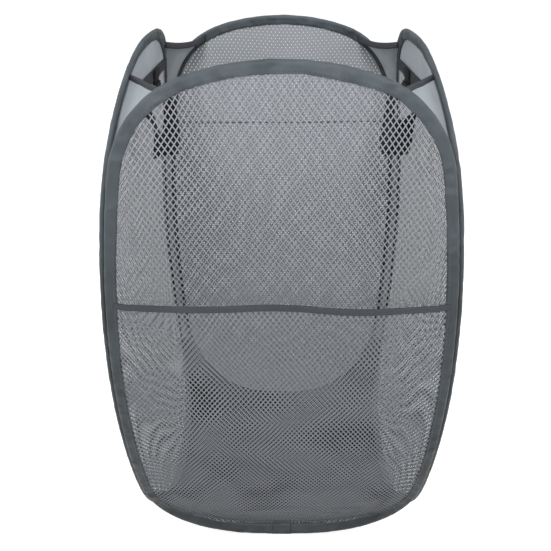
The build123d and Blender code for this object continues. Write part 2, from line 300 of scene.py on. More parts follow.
def noise_node(group, inside, detail):
    """A noise on the object's own place, at the group's scale."""
    place = group.nodes.new("ShaderNodeTexCoord")
    clouds = group.nodes.new("ShaderNodeTexNoise")
    clouds.inputs["Detail"].default_value = detail
    group.links.new(place.outputs["Object"], clouds.inputs["Vector"])
    group.links.new(inside["Scale"], clouds.inputs["Scale"])
    return clouds


print("node groups so far:", len(bpy.data.node_groups))

# %% Uneven dye and painted light
PAINTED_LIGHT_MIDDLE = 0.25
PAINTED_LIGHT_POWER = 3.0


def build_dye_and_light_group():
    """Slow random change of dye over a cloth, and painted light that makes it paler towards the rim."""
    group, inside, outside = new_group("uneven_dye_and_painted_light", ["Colour", "Scale", "Strength", "Fade"], "Colour")
    centred = math_node(group, "SUBTRACT", noise_node(group, inside, 3.0).outputs["Fac"], 0.5)
    swing = math_node(group, "MULTIPLY", centred, inside["Strength"])
    level = math_node(group, "ADD", math_node(group, "MULTIPLY", swing, 2.0), 1.0)
    # Painted light: the colour grows paler with height towards the rim, as if lit from above.
    height = math_node(group, "DIVIDE", split_place(group, "Object")["Z"], RIM)
    rise = math_node(group, "SUBTRACT", math_node(group, "POWER", height, PAINTED_LIGHT_POWER), PAINTED_LIGHT_MIDDLE)
    level = math_node(group, "ADD", level, math_node(group, "MULTIPLY", rise, inside["Fade"]))
    shade = group.nodes.new("ShaderNodeVectorMath")
    shade.operation = "SCALE"
    group.links.new(inside["Colour"], shade.inputs[0])
    group.links.new(level, shade.inputs["Scale"])
    group.links.new(shade.outputs[0], outside)
    return group


DYE_AND_LIGHT = build_dye_and_light_group()
print("node group:", DYE_AND_LIGHT.name)

# %% Weave, stitches and creases
STITCH_PITCH = 4.2 * MM
DASH_SHARE = 0.66


def build_weave_group():
    """Height of a cloth that is woven from threads both ways."""
    group, inside, outside = new_group("weave", ["Along", "Across"], "Height")
    place = split_place(group, "UV")
    waves = []
    for axis, count in (("X", "Along"), ("Y", "Across")):
        turns = math_node(group, "MULTIPLY", place[axis], inside[count])
        angle = math_node(group, "MULTIPLY", turns, math.tau)
        waves.append(math_node(group, "SINE", angle))
    both = math_node(group, "MULTIPLY", waves[0], waves[1])
    group.links.new(math_node(group, "ADD", math_node(group, "MULTIPLY", both, 0.5), 0.5), outside)
    return group


def build_stitch_group():
    """Dashes of a sewn line along a tape, at a place across it."""
    group, inside, outside = new_group("stitch_line", ["Place", "Half Width"], "Mask")
    place = split_place(group, "UV")
    steps = math_node(group, "DIVIDE", place["X"], STITCH_PITCH)
    dash = math_node(group, "LESS_THAN", math_node(group, "FRACT", steps), DASH_SHARE)
    offset = math_node(group, "SUBTRACT", place["Y"], inside["Place"])
    near = math_node(group, "LESS_THAN", math_node(group, "ABSOLUTE", offset), inside["Half Width"])
    group.links.new(math_node(group, "MULTIPLY", dash, near), outside)
    return group


def build_crumple_group():
    """Height of the creases that folding leaves in cloth."""
    group, inside, outside = new_group("crumple", ["Scale"], "Height")
    creases = noise_node(group, inside, 2.0)
    creases.noise_type = "RIDGED_MULTIFRACTAL"
    group.links.new(creases.outputs["Fac"], outside)
    return group


WEAVE = build_weave_group()
STITCH = build_stitch_group()
CRUMPLE = build_crumple_group()
print("node groups:", WEAVE.name, STITCH.name, CRUMPLE.name)

# %% [markdown]
# ## Finishes
# Every finish is a cloth, so one function builds them all from a colour and a few sizes. Pictures of cloth
# would blur close up. The net of the back and the sides is painted paler than the front's: painted light that
# makes up for the shade it stands in, so that there is hardly a step from one to the other.

# %% Build a cloth
CLOTH_GLOSS = 0.35
BUMP_STRENGTH = 0.6
STITCH_SHADE = 1.5


def place_group(tree, group, **values):
    node = tree.nodes.new("ShaderNodeGroup")
    node.node_tree = group
    for label, value in values.items():
        node.inputs[label.replace("_", " ")].default_value = value
    return node


def add_bump(tree, height, depth, below=None):
    """A bump of a given depth, on top of another one."""
    bump = tree.nodes.new("ShaderNodeBump")
    bump.inputs["Distance"].default_value = depth
    bump.inputs["Strength"].default_value = BUMP_STRENGTH
    tree.links.new(height, bump.inputs["Height"])
    if below:
        tree.links.new(below, bump.inputs["Normal"])
    return bump.outputs["Normal"]


def cloth_finish(name, colour, roughness, dye=0.2, dye_scale=18.0, threads=None, depth=0.0003, sheen=0.0,
                 stitches=(), creases=None, painted_light=0.0):
    """A cloth: uneven dye, painted light to the rim, and maybe a weave, sewn lines, creases (scale, depth).
    """
    material = bpy.data.materials.new(name)
    material.use_nodes = True
    tree = material.node_tree
    surface = tree.nodes["Principled BSDF"]
    gloss = {"Roughness": roughness, "Sheen Weight": sheen, "Specular IOR Level": CLOTH_GLOSS}
    for label, value in gloss.items():
        surface.inputs[label].default_value = value
    # The last input paints light: paler towards the rim, darker towards the foot.
    dyed = place_group(tree, DYE_AND_LIGHT, Colour=(*colour, 1), Scale=dye_scale, Strength=dye, Fade=painted_light)
    shade = dyed.outputs["Colour"]
    height = None
    if threads:
        height = place_group(tree, WEAVE, Along=threads[0], Across=threads[1]).outputs["Height"]
    for place, half in stitches:
        mask = place_group(tree, STITCH, Place=place, Half_Width=half).outputs["Mask"]
        mix = tree.nodes.new("ShaderNodeMix")
        mix.data_type = "RGBA"
        mix.inputs["B"].default_value = (*[min(1.0, part * STITCH_SHADE) for part in colour], 1)
        tree.links.new(mask, mix.inputs["Factor"])
        tree.links.new(shade, mix.inputs["A"])
        shade = mix.outputs["Result"]
        height = math_node(tree, "ADD", height, mask) if height else mask
    tree.links.new(shade, surface.inputs["Base Color"])
    normal = None
    if creases:
        folds = place_group(tree, CRUMPLE, Scale=creases[0]).outputs["Height"]
        normal = add_bump(tree, folds, creases[1])
    if height:
        normal = add_bump(tree, height, depth, normal)
    if normal:
        tree.links.new(normal, surface.inputs["Normal"])
    return material


print("materials so far:", len(bpy.data.materials))

# %% The finishes
FINISHES = {
    # The front net's last setting paints light: paler near the rim than lower down.
    "mesh_cloth": cloth_finish(
        "net_thread", (0.205, 0.217, 0.236), 0.7, dye=0.12, dye_scale=14, painted_light=0.5),
    # Painted light: a paler copy of the net thread, for the back and side nets that stand in shade.
    "painted_lit_net": cloth_finish(
        "painted_lit_net_thread", (0.315, 0.33, 0.352), 0.7, dye=0.12, dye_scale=14, painted_light=0.05),
    # The tape's last setting paints light: its top is paler and its foot darker, as under light from above.
    "binding_tape": cloth_finish(
        "binding_tape", (0.036, 0.044, 0.05), 0.5, dye=0.8, dye_scale=34, threads=(600, 900), sheen=0.03,
        stitches=((9.0 * MM, 0.35 * MM), (17.6 * MM, 0.35 * MM)), creases=(70, 0.008),
        painted_light=1.4),
    "plain_cloth": cloth_finish(
        "plain_cloth", (0.3, 0.335, 0.365), 0.5, dye=0.3, dye_scale=16, threads=(1200, 1200), sheen=0.15,
        creases=(30, 0.006)),
    # Painted light: a paler copy of plain_cloth for the insides of patches and back gussets, which stand in
    # shade.
    "plain_cloth_painted_lit": cloth_finish(
        "plain_cloth_painted_lit", (0.54, 0.585, 0.63), 0.5, dye=0.3, dye_scale=16, threads=(1200, 1200), sheen=0.1,
        creases=(30, 0.006)),
    "net_seam": cloth_finish("net_seam", (0.12, 0.127, 0.138), 0.7, dye=0.12),
    "seam_tape": cloth_finish(
        "seam_tape", (0.04, 0.043, 0.053), 0.6, dye=0.3, dye_scale=30, threads=(700, 700)),
    # Painted light: a cloth paler than the corner's seam tape, over the shade in the corner.
    "corner_seam_painted_lit": cloth_finish(
        "corner_seam_painted_lit", (0.36, 0.385, 0.41), 0.55, dye=0.25, dye_scale=20, threads=(1200, 1200)),
    "base_cloth": cloth_finish(
        "base_cloth", (0.04, 0.046, 0.052), 0.55, dye=0.35, dye_scale=14, threads=(1200, 1200), sheen=0.15,
        creases=(26, 0.008)),
    "webbing": cloth_finish(
        "webbing", (0.012, 0.012, 0.014), 0.65, dye_scale=40, threads=(450, 280), depth=0.0006),
}


def dress(obj, slot, *nodes, finish=None):
    """Give a piece its finish, and hide the solid nodes that it stands for."""
    obj.data.materials.append(FINISHES[finish or slot])
    if nodes:
        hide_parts(*nodes)
    return obj


print("finishes:", ", ".join(FINISHES))

# %% [markdown]
# ## Binding tape
# Each hoop is a wire in a tape that is folded round it and sewn to the edge of the net. The tape is thick
# over the wire and thin at its sewn edge, and it puckers, most on the tight corners. A curve with a bevel
# would give an even pipe, so the tape's own section is carried round the hoop instead.

# %% Make the four bindings
BINDING_OUTSIDE = [(0.5, 1.5), (1.8, 2.4), (3.6, 2.6), (5.6, 2.15), (8.0, 1.75), (10.2, 1.55), (11.0, 1.1)]
BINDING_INSIDE = [(inset, -out) for inset, out in BINDING_OUTSIDE[::-1]]
BINDING_SECTION = [(0.0, 0.0), *BINDING_OUTSIDE, (11.2, 0.0), *BINDING_INSIDE]
BINDING_RING = BINDING_SECTION + BINDING_SECTION[:1]
BINDING_ROUND = 26.6 * MM
FOOT_RISE = 90 * MM
FOOT_TAPE = 15 * MM
FOOT_WIRE = 4 * MM
FOOT_REACH = 60 * MM
FOOT_DRAW = 1.05
FOOT_WIDEN = 0.35
PUCKER_RUN = 50 * MM
FOLD_PITCH = 23 * MM
PUCKER_WIDE, PUCKER_THICK = 0.4, 0.25
DRIFT_WIDE = 0.9
FOLD_TURN, FOLD_SLANT, FOLD_HIGH = 3.0, 0.45, 1.3
SEWN_FROM, SEWN_RUN = 3.0, 8.0


def foot_pull(panel, across, z):
    """How far the base draws a panel's foot in, past the wire; across and z may be arrays."""
    lower = loop_at(panel, 0.0)[: HOOP_STEPS // 4]
    rise = np.interp(np.abs(across), lower[:, 0], lower[:, 1])
    gap = np.asarray(z) - rise
    near = np.clip(1 - rise / FOOT_RISE, 0, 1)
    back = np.clip((gap - FOOT_TAPE) / FOOT_REACH, 0, 1)
    drawn = FOOT_DRAW * np.clip(gap - FOOT_WIRE, 0, FOOT_TAPE - FOOT_WIRE)
    drawn *= 1 - back * back * (3 - 2 * back)
    return near * near * (3 - 2 * near) * drawn


def hoop_place(panel, s, inset, out):
    """A point of the hoop's tape: s round the hoop from the middle of the foot."""
    hoop = HOOPS[panel]
    at = (s % 1.0) * HOOP_STEPS
    i, part = int(at) % HOOP_STEPS, at - int(at)
    j = (i + 1) % HOOP_STEPS
    flat = hoop["loop"][i] * (1 - part) + hoop["loop"][j] * part
    normal = hoop["normal"][i] * (1 - part) + hoop["normal"][j] * part
    wide = 1 + FOOT_WIDEN * max(0.0, 1 - flat[1] / FOOT_RISE)
    across, z = flat - normal * (inset * wide - WIRE_INSET)
    return on_panel(panel, float(across), float(z), out - float(foot_pull(panel, across, z)))


def make_binding(panel):
    """The tape of one hoop; its section, in millimetres, puckers and folds on the way."""
    seed = 7.3 * list(PANELS).index(panel)
    length = HOOPS[panel]["length"]
    folds = round(length / FOLD_PITCH)

    def place(s, t):
        inset, out = BINDING_RING[round(t * len(BINDING_SECTION))]
        turn = math.tau * (s % 1.0)
        x, y = math.cos(turn) * length / PUCKER_RUN, math.sin(turn) * length / PUCKER_RUN
        pucker = ripple(x, y, seed + 0.3 * inset)
        drift = ripple(x / 5, y / 5, seed + 40)
        edge = max(0.0, inset - SEWN_FROM) / SEWN_RUN
        inset = inset + PUCKER_WIDE * pucker + DRIFT_WIDE * drift * edge
        fold = math.sin(math.tau * s * folds + FOLD_TURN * drift + FOLD_SLANT * inset)
        fold *= max(0.0, ripple(x / 2.2, y / 2.2, seed + 80))
        out = out * (1 + PUCKER_THICK * pucker) + FOLD_HIGH * fold * edge
        return hoop_place(panel, s, inset * MM, out * MM)

    obj = cloth_grid(f"{panel}_binding_tape", HOOP_STEPS, len(BINDING_SECTION), place,
                     (length, BINDING_ROUND), closed=True)
    dress(obj, "binding_tape", f"{panel}_binding")
    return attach(obj, panel)


BINDINGS = {panel: make_binding(panel) for panel in PANELS}
print("bindings:", [len(obj.data.polygons) for obj in BINDINGS.values()], "faces")

# %% [markdown]
# ## Net
# The panels are an open net of diamonds in staggered rows. A picture of holes would not let light through,
# so the net is real. A grid is poked, which puts a point in the middle of every cell. Its first edges are
# dissolved, which leaves diamonds. Each is inset, and what is inside the inset is deleted. The edge of the
# net is hidden in the binding, so it can stay ragged. It is then laid on the panel, with slow waves, since
# stretched net is never even. The back and the sides are closer than the front: the photograph shows them
# through it as even cloth.

# %% A flat net
CELL = (5.2 * MM, 7.2 * MM)
NET_HALF = 176 * MM
STRAIGHT = 1e-7


def flat_net(name, low, high, inside, thread):
    """A flat net of diamonds on X and Y, cut to where inside(x, y) is true, and the area of its threads."""
    columns = round(2 * NET_HALF / CELL[0])
    rows = round((high - low) / CELL[1])
    obj = new_grid(name, columns, rows)
    for vertex in obj.data.vertices:
        vertex.co.x *= columns * CELL[0]
        vertex.co.y = low + (vertex.co.y + 0.5) * rows * CELL[1]
    edit_all()
    bpy.ops.mesh.poke()
    bpy.ops.mesh.select_all(action="DESELECT")
    bpy.ops.mesh.select_mode(type="EDGE")
    net = bmesh.from_edit_mesh(obj.data)
    for edge in net.edges:
        run = edge.verts[0].co - edge.verts[1].co
        edge.select_set(min(abs(run.x), abs(run.y)) < STRAIGHT and len(edge.link_faces) == 2)
    bmesh.update_edit_mesh(obj.data)
    bpy.ops.mesh.dissolve_edges(use_verts=False)
    bpy.ops.mesh.select_mode(type="FACE")
    bpy.ops.mesh.select_all(action="DESELECT")
    net = bmesh.from_edit_mesh(obj.data)
    for face in net.faces:
        middle = face.calc_center_median()
        face.select_set(len(face.verts) < 4 or not inside(middle.x, middle.y))
    bmesh.update_edit_mesh(obj.data)
    bpy.ops.mesh.delete(type="FACE")
    bpy.ops.mesh.select_all(action="SELECT")
    bpy.ops.mesh.inset(thickness=thread, use_individual=True)
    bpy.ops.mesh.delete(type="FACE")
    bpy.ops.object.mode_set(mode="OBJECT")
    return obj, sum(face.area for face in obj.data.polygons)


print("diamonds across a net:", round(2 * NET_HALF / CELL[0]))

# %% Lay the nets on the panels
THREADS = {"front": 0.5 * MM, "back": 1.7 * MM, "left": 1.38 * MM, "right": 1.38 * MM}
NET_EDGE = 7.0 * MM
NET_TUCK = 2 * MM
ROW_DRIFT = 0.7 * MM
SLACK_DEPTH = 1.2 * MM
SLACK_EDGE = 50 * MM
PATCH_BASE = 560 * MM


def lay_on_panel(obj, panel, out_of):
    """Carry a flat net on to a panel, out_of(x, z) giving how far it stands out from the middle."""
    kind, sideways, outward = PANELS[panel]
    flat = np.empty(len(obj.data.vertices) * 3)
    obj.data.vertices.foreach_get("co", flat)
    x, y = flat.reshape(-1, 3)[:, 0], flat.reshape(-1, 3)[:, 1]
    turn = 2.1 * len(obj.data.vertices) % 6.0
    across = x + ROW_DRIFT * (np.sin(52 * y + turn) + np.sin(71 * x + 37 * y))
    z = y + ROW_DRIFT * (np.sin(47 * x + 2 * turn) + np.sin(63 * y - 29 * x))
    stand = REACH - bow(kind, z) + out_of(across, z) - foot_pull(panel, across, z)
    points = np.outer(across, sideways) + np.outer(stand, outward) + np.outer(z, UP)
    obj.data.vertices.foreach_set("co", points.ravel())
    obj.data.update()


def slack(panel, high):
    """Gentle unevenness of stretched net, none at its edges."""
    turn = 1.7 * list(PANELS).index(panel)

    def out_of(across, z):
        from_edge = np.minimum(half_width(panel, z, NET_EDGE) - np.abs(across), high - z)
        waves = np.sin(31 * across + 9 * z + turn) + np.sin(23 * z - 14 * across + 2 * turn)
        return -SLACK_DEPTH * np.clip(from_edge / SLACK_EDGE, 0, 1) * (1 + 0.5 * waves)

    return out_of


def make_panel_net(panel):
    high = PATCH_BASE if PANELS[panel][0] == "side" else RIM

    def inside(across, z):
        return z < high and abs(across) < half_width(panel, z, NET_EDGE - NET_TUCK)

    obj, area = flat_net(f"{panel}_net", 0.0, high, inside, THREADS[panel])
    lay_on_panel(obj, panel, slack(panel, high))
    # Back and side nets take the paler thread: painted light for the shade behind the front.
    dress(obj, "mesh_cloth", f"{panel}_mesh", finish=None if panel == "front" else "painted_lit_net")
    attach(obj, panel)
    2 * float(half_width(panel, BELLY, NET_EDGE))
    return obj


NETS = {panel: make_panel_net(panel) for panel in PANELS}
print("nets:", [len(obj.data.polygons) for obj in NETS.values()], "faces")

# %% [markdown]
# ## Pocket
# A second piece of the same net covers the lower front. It is sewn into the binding along the sides and the
# foot, and a narrow tape finishes its mouth, which sags a little. Drawn on the front's net it would lie flat,
# so it is a net of its own that stands out.

# %% Make the pocket and its hem
POCKET_TOP = 398 * MM
POCKET_BASE = 4 * MM
POCKET_BULGE = 8 * MM
POCKET_EDGE = 14 * MM
POCKET_FOOT, POCKET_FOOT_RUN = 12 * MM, 20 * MM
POCKET_GAP, POCKET_STAND, POCKET_WAVE = 0.8 * MM, 1.6 * MM, 0.6 * MM
SAG_FROM = 200 * MM
HEM_HALF = 170 * MM
HEM_SOFTEN = 15
HEM_ACROSS = MM * np.array([-170, -150, -74, 0, 66, 150, 170])
HEM_RISE = MM * np.array([-2.0, -1.5, -1.0, 3.5, -4.5, -2.0, -3.0])
HEM_WIDTH, HEM_THICK, HEM_DROP = 6.8 * MM, 2.4 * MM, 3.5 * MM


def hem_sag(across):
    """How far the mouth of the pocket is pulled up or hangs down."""
    fine = np.linspace(-HEM_HALF, HEM_HALF, 171)
    line = np.pad(np.interp(fine, HEM_ACROSS, HEM_RISE), HEM_SOFTEN, mode="edge")
    even = np.ones(2 * HEM_SOFTEN + 1) / (2 * HEM_SOFTEN + 1)
    return np.interp(across, fine, np.convolve(line, even, mode="valid"))


def pocket_out(across, z):
    """How far the pocket stands out from the front's net."""
    half = half_width("front", z, NET_EDGE)
    room = np.clip((half - np.abs(across)) / POCKET_EDGE, 0, 1)
    held = room * room * (3 - 2 * room)
    low = np.clip((z - POCKET_FOOT) / POCKET_FOOT_RUN, 0, 1)
    crown = np.clip(1 - (across / np.maximum(half, 10 * MM)) ** 2, 0, 1)
    full = POCKET_BULGE * np.clip(z / POCKET_TOP, 0, 1) * crown
    waves = POCKET_WAVE * np.sin(27 * across + 11 * z) * np.sin(19 * z + 8 * across)
    return POCKET_GAP + low * held * (POCKET_STAND + full + waves)


def make_pocket():
    def inside(across, z):
        return z < POCKET_TOP and abs(across) < half_width("front", z, NET_EDGE)

    obj, area = flat_net("pocket_net", POCKET_BASE, POCKET_TOP, inside, THREADS["front"])
    for vertex in obj.data.vertices:
        rise = max(0.0, (vertex.co.y - SAG_FROM) / (POCKET_TOP - SAG_FROM))
        vertex.co.y += float(hem_sag(vertex.co.x)) * rise
    lay_on_panel(obj, "front", pocket_out)
    dress(obj, "mesh_cloth", "pocket_mesh")
    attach(obj, "front")
    half = float(half_width("front", POCKET_TOP, NET_EDGE))

    def along(s):
        across = (2 * s - 1) * half
        z = POCKET_TOP - HEM_DROP + float(hem_sag(across))
        return on_panel("front", across, z, float(pocket_out(across, z)) + 0.2 * MM)

    hem = tape("pocket_hem_tape", 120, along, lambda s: UP, HEM_WIDTH, HEM_THICK, 2 * half)
    dress(hem, "seam_tape", "pocket_hem")
    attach(hem, "front")
    return obj


POCKET = make_pocket()
print("pocket:", len(POCKET.data.polygons), "faces")

# %% [markdown]
# ## Top patches
# The arch at the top of each side is plain cloth, sewn to the net along a level tape that also holds the
# handles. A grid is drawn out to the hoop row by row, which follows the arch without cutting.

# %% Make the patches and their tapes
PATCH_LAP = 6 * MM
PATCH_TUCK = 0.3 * MM
PATCH_PLAY = 1.2 * MM
BAND_WIDTH, BAND_THICK = 12 * MM, 1.4 * MM
BAND_INSET, BAND_OUT = 8 * MM, -1.6 * MM


def make_patch(panel):
    low = PATCH_BASE - PATCH_LAP
    high = float(loop_at(panel, NET_EDGE)[:, 1].max()) - PATCH_TUCK

    def place(s, t):
        z = low + (high - low) * (1 - (1 - t) ** 2)
        across = (2 * s - 1) * float(half_width(panel, z, NET_EDGE))
        room = min(1.0, 5 * min(s, 1 - s), 5 * (1 - t))
        out = PATCH_PLAY * (0.3 + room * (0.5 + ripple(across * 22, z * 30, 3.0)))
        return on_panel(panel, across, z, out)

    width = 2 * float(half_width(panel, low, NET_EDGE))
    obj = cloth_grid(f"{panel}_patch_cloth", 60, 18, place, (width, high - low))
    # The patch takes the paler copy of the plain cloth: painted light on its inner side, which is in shade.
    dress(obj, "plain_cloth", f"{panel}_top_patch", finish="plain_cloth_painted_lit")
    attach(obj, panel)
    half = float(half_width(panel, PATCH_BASE, BAND_INSET))

    def along(s):
        return on_panel(panel, (2 * s - 1) * half, PATCH_BASE, BAND_OUT)

    band = tape(f"{panel}_patch_seam", 60, along, lambda s: UP, BAND_WIDTH, BAND_THICK, 2 * half)
    dress(band, "seam_tape", f"{panel}_patch_tape")
    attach(band, panel)
    levels = np.linspace(low, high, 400)
    area = float(np.sum(2 * half_width(panel, levels, NET_EDGE)) * (levels[1] - levels[0]))
    return obj


PATCHES = [make_patch(panel) for panel in ("left", "right")]
print("patches:", len(PATCHES))

# %% [markdown]
# ## Corner cloth
# Neighbouring hoops meet along the corner and part above and below it. Plain cloth fills both gaps: a gusset
# at the top with a hem, a corner of the base at the bottom, like that of a sack, and a narrow seam between.
# Each is a grid whose edges follow the two bindings.

# %% Lines of a corner
JOINED = {
    ("front", "left"): ("front", "left"),
    ("front", "right"): ("front", "right"),
    ("back", "right"): ("right", "back"),
    ("back", "left"): ("left", "back_left_seam"),
}
CORNER_INSET, CORNER_OUT = 6.5 * MM, -2.0 * MM
BEND_HALF = 3.6 * MM


def corner_line(face, side, z):
    """The two points of the bindings beside a corner at a height."""
    p = on_panel(face, sign_of(side) * float(half_width(face, z, CORNER_INSET)), z, CORNER_OUT)
    q = on_panel(side, sign_of(face) * float(half_width(side, z, CORNER_INSET)), z, CORNER_OUT)
    return p, q


def inward_at(face, side):
    """The way from a corner to the middle of the hamper."""
    return Vector((-sign_of(side), -sign_of(face), 0)).normalized()


def corner_shift(z):
    """How far the middle of a corner stands over to the side panel at a height."""
    return float(bow("face", z) - bow("side", z)) / math.sqrt(2)


def bend_at_corner(obj, face, side, low, high):
    """Bake a piece of corner cloth in place; the bend across the corner is worked out but not used."""
    x, y = sign_of(side), sign_of(face)
    toward_side = Vector((x, -y, 0)).normalized()
    slope = (corner_shift(high) - corner_shift(low)) / (high - low)
    middle = Vector((x * REACH, y * REACH, (low + high) / 2))
    middle += toward_side * (corner_shift(low) + corner_shift(high)) / 2
    half = (toward_side - UP * slope).normalized() * BEND_HALF
    if face == "back":
        half = -half
    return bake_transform(obj)


print("corners:", len(JOINED))

# %% Gussets and corner seams
SEAM_BASE, SEAM_TOP, GUSSET_TOP = 112 * MM, 480 * MM, 583 * MM
GUSSET_LAP, GUSSET_IN, GUSSET_DROP, GUSSET_CREASE = 4 * MM, 6 * MM, 4 * MM, 1.5 * MM
GUSSET_HEM, GUSSET_HEM_THICK, GUSSET_HEM_LIFT = 7 * MM, 2.2 * MM, 1 * MM
STRIP_WIDTH, STRIP_IN = 14 * MM, 2 * MM


def make_gusset(face, side):
    """The cloth at the top of a corner, and its hem."""
    name = f"{face}_{side}_gusset"
    inward = inward_at(face, side)
    seed = sign_of(side) + 3 * sign_of(face)

    def place(s, t):
        p, q = corner_line(face, side, SEAM_TOP - GUSSET_LAP + (GUSSET_TOP - SEAM_TOP + GUSSET_LAP) * t)
        free = 4 * s * (1 - s)
        sag = free * (GUSSET_IN * t + GUSSET_CREASE * ripple(6 * s, 5 * t, seed))
        return p.lerp(q, s) + inward * sag - UP * (free * GUSSET_DROP * t)

    width = (place(0, 1) - place(1, 1)).length
    gusset = cloth_grid(f"{name}_cloth", 16, 24, place, (width, GUSSET_TOP - SEAM_TOP))
    # Back gussets take the paler copy of the plain cloth: painted light for the shade they stand in.
    dress(gusset, "plain_cloth", name, finish="plain_cloth_painted_lit" if face == "back" else None)
    hem = tape(f"{name}_hem_tape", 20, lambda s: place(s, 1) + UP * GUSSET_HEM_LIFT, lambda s: UP,
               GUSSET_HEM, GUSSET_HEM_THICK, width)
    dress(hem, "seam_tape", f"{name}_hem")
    for piece in (gusset, hem):
        bend_at_corner(piece, face, side, SEAM_TOP, GUSSET_TOP)
    return [gusset, hem]


def make_corner_seam(face, side):
    def place(s, t):
        p, q = corner_line(face, side, SEAM_BASE + (SEAM_TOP - SEAM_BASE) * t)
        return p.lerp(q, s) + inward_at(face, side) * (STRIP_IN * 4 * s * (1 - s))

    seam = cloth_grid(f"{face}_{side}_seam_cloth", 6, 60, place, (STRIP_WIDTH, SEAM_TOP - SEAM_BASE))
    # The corner seam takes a paler cloth than its tape: painted light over the shade of the corner.
    dress(seam, "seam_tape", f"{face}_{side}_seam_tape", finish="corner_seam_painted_lit")
    return bend_at_corner(seam, face, side, SEAM_BASE, SEAM_TOP)


print("gussets stand from", SEAM_TOP, "to", GUSSET_TOP, "m")

# %% Corners of the base, and all corners together
SACK_BASE, SACK_LAP = 9.5 * MM, 2 * MM
SACK_IN, SACK_CREASE, SACK_FLOOR = 4 * MM, 2 * MM, 2 * MM


def foot_share(panel, z, inset):
    """Share of the way round a hoop, from the middle of its foot to a height."""
    loop = loop_at(panel, inset)[: HOOP_STEPS // 2 + 1]
    return float(np.interp(z, loop[:, 1], np.arange(len(loop)))) / HOOP_STEPS


def make_base_corner(face, side):
    """The cloth that rises from the base to the seam of a corner."""
    inward = inward_at(face, side)
    seed = 2.0 * sign_of(side) + sign_of(face)
    edges = []
    for panel, other in ((face, side), (side, face)):
        first = foot_share(panel, SACK_BASE, CORNER_INSET)
        last = foot_share(panel, SEAM_BASE + SACK_LAP, CORNER_INSET)
        edges.append((panel, sign_of(other), first, last))

    def place(s, t):
        ends = []
        for panel, hand, first, last in edges:
            share = first + (last - first) * t
            ends.append(hoop_place(panel, share if hand > 0 else 1 - share, CORNER_INSET, CORNER_OUT))
        drop = 4 * s * (1 - s)
        point = ends[0].lerp(ends[1], s) + inward * (SACK_IN * drop * t * (1 - t))
        point.z -= drop * (1 - t) ** 2 * (point.z - SACK_FLOOR)
        return point + inward * (SACK_CREASE * drop * ripple(5 * s, 4 * t, seed))

    width = (place(0, 0) - place(1, 0)).length
    corner = cloth_grid(f"{face}_{side}_base_corner_cloth", 18, 18, place, (width, SEAM_BASE))
    dress(corner, "base_cloth", f"{face}_{side}_base_corner")
    return bend_at_corner(corner, face, side, 0.0, SEAM_BASE)


CORNERS = {}
for corner in JOINED:
    CORNERS[corner] = [*make_gusset(*corner), make_corner_seam(*corner), make_base_corner(*corner)]
print("corner cloth:", sum(len(pieces) for pieces in CORNERS.values()), "pieces")

# %% [markdown]
# ## Base
# The base is one piece of plain dark cloth, creased from being folded, and drawn up a little where it is sewn
# to the hoops. When the hamper folds, the cloth pleats along one diagonal, so it is cut along that line here.
# Where two panels close on one another, the halves are drawn back, and a narrow strip, the pleat, covers the
# gap.

# %% The base's outline and height
FOOT_Y = REACH - LEANS["face"][1] - CORNER_INSET
FOOT_X = REACH - LEANS["side"][1] - CORNER_INSET
CUT_LEVEL = 14 * MM
CORNER_X = float(half_width("front", CUT_LEVEL, CORNER_INSET))
CORNER_Y = float(half_width("left", CUT_LEVEL, CORNER_INSET))
HOOP_INSIDE = 13 * MM
RISE_RUN, RISE_MOST = 16 * MM, 16 * MM
CREASE_SOFT, CREASE_SHARP, BASE_CLEAR = 1.6 * MM, 1.2 * MM, 0.8 * MM


def base_half_width(y):
    """Half the base's width at a place along its depth."""
    share = np.clip((abs(y) - CORNER_Y) / (FOOT_Y - CORNER_Y), 0, 1)
    return float(FOOT_X + (CORNER_X - FOOT_X) * share)


def base_height(x, y):
    """The base lies on the floor, and rises to the hoops at its edge."""
    rise = 0.0
    for panel, across, gap in (("front", x, FOOT_Y - abs(y)), ("left", y, FOOT_X - abs(x))):
        loop = loop_at(panel, HOOP_INSIDE)[: HOOP_STEPS // 4]
        hoop_z = float(np.interp(abs(across), loop[:, 0], loop[:, 1]))
        near = max(0.0, 1 - gap / RISE_RUN)
        rise = max(rise, near * near * min(hoop_z, RISE_MOST))
    crease = CREASE_SOFT * (0.5 + 0.5 * ripple(x * 26, y * 26, 5.0))
    crease += CREASE_SHARP * abs(ripple(x * 60 + 9, y * 18, 1.0))
    return BASE_CLEAR + rise + crease


print("base:", round(2 * FOOT_X, 3), "by", round(2 * FOOT_Y, 3), "m")

# %% Make the halves and the pleats
PLEAT_ALONG = MM * np.array([-30, 0, 20, 45, 130])
PLEAT_WIDTH = MM * np.array([0, 10, 22, 33, 29])
PLEAT_REACH, PLEAT_OVER, PLEAT_LIFT = 100 * MM, 3 * MM, 0.6 * MM
PLEAT_FLAT = (30 * MM, 200 * MM)
BASE_STEPS = 72
CUT_NEAR, CUT_OVER, BACK_LIFT = 2 * MM, 0.7 * MM, 0.3 * MM


def pleat_width(along):
    """Width of the pleat along the diagonal, from the middle to the corner that closes."""
    return float(np.interp(along, PLEAT_ALONG, PLEAT_WIDTH))


